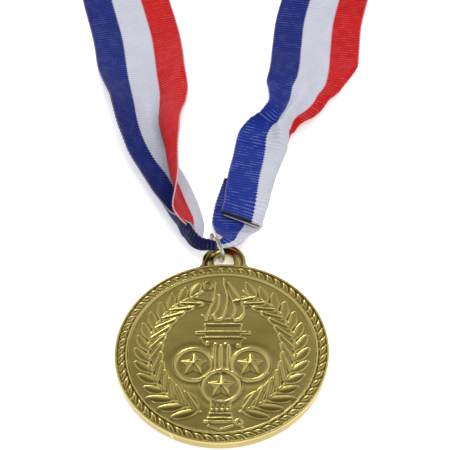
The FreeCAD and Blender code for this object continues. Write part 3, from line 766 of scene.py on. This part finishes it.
class Nodes:
    """Short calls for building one node material."""

    def __init__(self, name):
        self.material = bpy.data.materials.new(name)
        self.material.use_nodes = True
        self.tree = self.material.node_tree
        self.shader = self.tree.nodes["Principled BSDF"]

    def node(self, kind, **settings):
        made = self.tree.nodes.new(kind)
        for key, value in settings.items():
            setattr(made, key, value)
        return made

    def join(self, source, target):
        self.tree.links.new(source, target)

    def put(self, value, socket):
        if isinstance(value, bpy.types.NodeSocket):
            self.join(value, socket)
        else:
            socket.default_value = value

    def math(self, operation, a, b=0.0):
        made = self.node("ShaderNodeMath", operation=operation)
        self.put(a, made.inputs[0])
        self.put(b, made.inputs[1])
        return made.outputs[0]

    def mix(self, factor, a, b):
        made = self.node("ShaderNodeMix", data_type="RGBA")
        self.put(factor, made.inputs[0])
        self.put(a, made.inputs[6])
        self.put(b, made.inputs[7])
        return made.outputs[2]

    def step(self, value, low, high, start=0.0, end=1.0):
        made = self.node("ShaderNodeMapRange", interpolation_type="SMOOTHSTEP")
        for socket, number in zip(made.inputs, (value, low, high, start, end)):
            self.put(number, socket)
        return made.outputs[0]

    def noise(self, scale, detail=3.0, roughness=0.5):
        made = self.node("ShaderNodeTexNoise")
        made.inputs["Scale"].default_value = scale
        made.inputs["Detail"].default_value = detail
        made.inputs["Roughness"].default_value = roughness
        self.join(self.node("ShaderNodeTexCoord").outputs["Object"], made.inputs["Vector"])
        return made.outputs["Fac"]

    def bump(self, height, strength, distance, normal=None):
        made = self.node("ShaderNodeBump")
        made.inputs["Strength"].default_value = strength
        made.inputs["Distance"].default_value = distance
        self.join(height, made.inputs["Height"])
        if normal is not None:
            self.join(normal, made.inputs["Normal"])
        return made.outputs["Normal"]

    def attribute(self, name):
        return self.node("ShaderNodeAttribute", attribute_name=name).outputs["Fac"]


def ribbon_material():
    """Woven ribbon: three bands, ribs across it, threads along it, and melted cut ends.

    Painted in: glints on the ribs, shade between them and on cloth turned from face up, light on
    the lower right leg, and shadow with the soot on the blue at the cut end.
    """
    n = Nodes("ribbon_weave")
    across, along = n.attribute("across"), n.attribute("along")
    rib = n.math("SINE", n.math("MULTIPLY", along, 2 * math.pi / RIB_PITCH))
    thread = n.math("SINE", n.math("MULTIPLY", across, 2 * math.pi * THREADS))
    shift = n.math("MULTIPLY", rib, RIB_SHIFT)
    place = n.math("ADD", across, shift)
    blue_to_white = n.step(place, *BLUE_TO_WHITE)
    white_to_red = n.step(place, *WHITE_TO_RED)
    patchy = n.noise(160.0, 4.0, 0.6)
    blue = n.mix(patchy, *BLUES)
    over = n.step(n.attribute("over"), 0.05, 0.75)
    # painted light: the lower right leg's blue is made brighter
    blue = n.mix(n.step(along, *PAINTED_LIGHT_ALONG, 0.0, 0.4), blue, PAINTED_LIGHT_BLUE)
    # painted shade: blue that is tilted or turned from face up is darkened
    blue = n.mix(over, blue, PAINTED_SHADE_BLUE)
    white = n.mix(patchy, *WHITES)
    red = n.mix(patchy, *REDS)
    colour = n.mix(white_to_red, n.mix(blue_to_white, blue, white), red)
    # painted glints on the rib crests, in dotted spots, stronger on the lower right leg
    glint = n.math("MULTIPLY", n.step(rib, 0.45, 0.95), n.step(thread, 0.1, 0.9))
    glint_spots = n.math("MULTIPLY", glint, n.step(n.noise(420.0, 2.0), 0.46, 0.62))
    light = n.mix(0.45, colour, GLINT)
    shine = n.step(along, *PAINTED_LIGHT_ALONG, 0.4, 0.95)
    colour = n.mix(n.math("MULTIPLY", glint_spots, shine), colour, light)
    # painted shade in the valleys between the ribs, lighter on the white
    is_white = n.math("SUBTRACT", blue_to_white, white_to_red)
    deepest = n.math("ADD", n.math("MULTIPLY", is_white, 0.18), 0.72)
    rib_valley_shade = n.step(rib, -1.0, 0.1, deepest, 1.0)
    colour = n.mix(n.math("SUBTRACT", 1.0, rib_valley_shade), colour, (0, 0, 0, 1))
    # the pale edge threads, paler on the red side; on the blue edge and on cloth turned over the
    # paleness is also a painted highlight
    selvage = n.step(n.math("ABSOLUTE", n.math("SUBTRACT", across, 0.5)), 0.484, 0.496)
    pale = n.mix(0.55, colour, SELVAGE_PALE_AND_SHINE)
    share = n.math("MAXIMUM", n.step(across, 0.4, 0.6, 0.25, 0.85), n.math("MULTIPLY", over, 0.8))
    colour = n.mix(n.math("MULTIPLY", selvage, share), colour, pale)
    # the melted cut ends are sooty; on the blue the near-black also stands for painted shadow
    # along the cut edge
    ragged = n.math("ADD", n.attribute("burn"), n.math("MULTIPLY", n.noise(900.0, 3.0), 0.35))
    burnt = n.step(ragged, 0.45, 0.85)
    soot_and_shadow = n.mix(blue_to_white, SOOT_AND_SHADOW_ON_BLUE, SOOT_ON_WHITE)
    colour = n.mix(burnt, colour, soot_and_shadow)
    n.join(colour, n.shader.inputs["Base Color"])
    n.join(n.step(burnt, 0.0, 1.0, 0.62, 0.3), n.shader.inputs["Roughness"])
    n.shader.inputs["Sheen Weight"].default_value = 0.03
    n.shader.inputs["Sheen Roughness"].default_value = 0.4
    n.shader.inputs["Specular IOR Level"].default_value = 0.12
    weave = n.math("ADD", n.math("MULTIPLY", rib, 0.6), n.math("MULTIPLY", thread, 0.25))
    weave = n.math("ADD", weave, n.math("MULTIPLY", n.noise(2600.0, 2.0), 0.8))
    n.join(n.bump(weave, 0.55, 0.00012), n.shader.inputs["Normal"])
    return n.material


def gold_material():
    """Gold-finished moulded plastic: a soft mirror with faint ripples and handling haze."""
    n = Nodes("gold_plastic")
    broad = n.noise(70.0, 3.0)
    fine = n.noise(900.0, 4.0, 0.6)
    colour = n.mix(broad, *GOLDS)
    # Pointiness marks edges and hollows: hollows get painted shade, raised edges a painted
    # highlight. It is also uneven over the flat back, so the painted highlight is kept to points
    # above the back.
    edge = n.node("ShaderNodeNewGeometry").outputs["Pointiness"]
    # painted shade: hollows are darkened
    hollow_shade = n.step(edge, 0.40, 0.5, 1.0, 0.0)
    colour = n.mix(n.math("MULTIPLY", hollow_shade, 0.75), colour, GOLD_PAINTED_SHADE)
    place = n.node("ShaderNodeSeparateXYZ")
    n.join(n.node("ShaderNodeTexCoord").outputs["Object"], place.inputs[0])
    front = n.step(place.outputs[2], 0.0003, 0.001)
    # painted highlight on raised edges
    raised = n.math("MULTIPLY", n.step(edge, 0.51, 0.58), front)
    colour = n.mix(n.math("MULTIPLY", raised, 0.75), colour, GOLD_PAINTED_HIGHLIGHT)
    n.join(colour, n.shader.inputs["Base Color"])
    n.shader.inputs["Metallic"].default_value = 1.0
    haze = n.math("ADD", n.math("MULTIPLY", broad, 0.12), n.math("MULTIPLY", fine, 0.10))
    n.join(n.math("ADD", haze, 0.12), n.shader.inputs["Roughness"])
    ripple = n.bump(broad, 0.45, 0.0006)
    n.join(n.bump(fine, 0.25, 0.00003, ripple), n.shader.inputs["Normal"])
    return n.material


def steel_material():
    """Dull plated steel wire with fine drawing lines."""
    n = Nodes("steel_wire")
    patch = n.noise(1400.0, 4.0, 0.6)
    n.join(n.mix(patch, *STEELS), n.shader.inputs["Base Color"])
    n.shader.inputs["Metallic"].default_value = 1.0
    n.join(n.step(patch, 0.2, 0.8, 0.22, 0.38), n.shader.inputs["Roughness"])
    n.join(n.bump(n.noise(5200.0, 3.0), 0.3, 0.00002), n.shader.inputs["Normal"])
    return n.material


def floor_material():
    """Plain white table."""
    n = Nodes("table_white")
    n.shader.inputs["Base Color"].default_value = (0.93, 0.93, 0.93, 1)
    n.shader.inputs["Emission Color"].default_value = (1, 1, 1, 1)
    n.shader.inputs["Emission Strength"].default_value = 0.3
    n.shader.inputs["Roughness"].default_value = 0.9
    n.shader.inputs["Specular IOR Level"].default_value = 0.1
    return n.material


gold = gold_material()
for piece, material in ((ribbon, ribbon_material()), (medal, gold), (loop, gold),
                        (ring, steel_material())):
    piece.data.materials.clear()
    piece.data.materials.append(material)


# ---- floor and light ---------------------------------------------------------------------------
TABLE_HALF, TABLE_Z = 3.0, -0.0001
# name, place, the point it looks at, size, power, and whether it is seen in the metal
LIGHTS = [
    ("key", (0.35, -0.25, 0.75), (0.0, 0.08, 0.0), 0.5, 3.2, False),
    ("fill", (-0.6, -0.1, 0.6), (0.0, 0.08, 0.0), 0.6, 1.6, False),
    ("top", (0.0, 0.25, 1.1), (0.0, 0.1, 0.0), 0.7, 5.5, False),
    ("back", (-0.25, 1.0, 0.35), (0.0, 0.0, 0.0), 0.35, 2.5, True),
]
WORLD_LOW, WORLD_HIGH, WORLD_STRENGTH = (1.0, 1.0, 1.0, 1), (0.10, 0.10, 0.10, 1), 1.1
WORLD_BETWEEN = ((0.35, 0.85), (0.62, 0.56), (0.82, 0.36))      # place on the ramp, and grey


def make_floor():
    """A wide flat table under the object."""
    mesh = bpy.data.meshes.new("table")
    size = TABLE_HALF
    mesh.from_pydata([(-size, -size, 0), (size, -size, 0), (size, size, 0), (-size, size, 0)],
                     [], [(0, 1, 2, 3)])
    table = bpy.data.objects.new("table", mesh)
    table.location.z = TABLE_Z
    mesh.materials.append(floor_material())
    bpy.context.scene.collection.objects.link(table)


def make_light(name, place, target, size, power, mirrored):
    """A square soft light that looks at a point. Only mirrored ones are seen in the metal."""
    data = bpy.data.lights.new(name, "AREA")
    data.shape, data.size, data.energy = "SQUARE", size, power
    light = bpy.data.objects.new(name, data)
    light.location = place
    aim = Vector(target) - Vector(place)
    light.rotation_mode = "QUATERNION"
    light.rotation_quaternion = aim.to_track_quat("-Z", "Y")
    light.visible_glossy = mirrored
    bpy.context.scene.collection.objects.link(light)


def make_world():
    """A room that is bright low down and dimmer overhead, for soft reflections in the gold."""
    world = bpy.data.worlds.new("studio")
    bpy.context.scene.world = world
    world.use_nodes = True
    tree = world.node_tree
    background = tree.nodes["Background"]
    place = tree.nodes.new("ShaderNodeTexCoord").outputs["Generated"]
    split = tree.nodes.new("ShaderNodeSeparateXYZ")
    tree.links.new(place, split.inputs[0])
    ramp = tree.nodes.new("ShaderNodeValToRGB")
    tree.links.new(split.outputs["Z"], ramp.inputs[0])
    stops = ramp.color_ramp.elements
    stops[0].position, stops[0].color = 0.0, WORLD_LOW
    stops[1].position, stops[1].color = 1.0, WORLD_HIGH
    for height, grey in WORLD_BETWEEN:
        stops.new(height).color = (grey, grey, grey, 1)
    tree.links.new(ramp.outputs[0], background.inputs["Color"])
    background.inputs["Strength"].default_value = WORLD_STRENGTH


make_floor()
make_world()
for light in LIGHTS:
    make_light(*light)
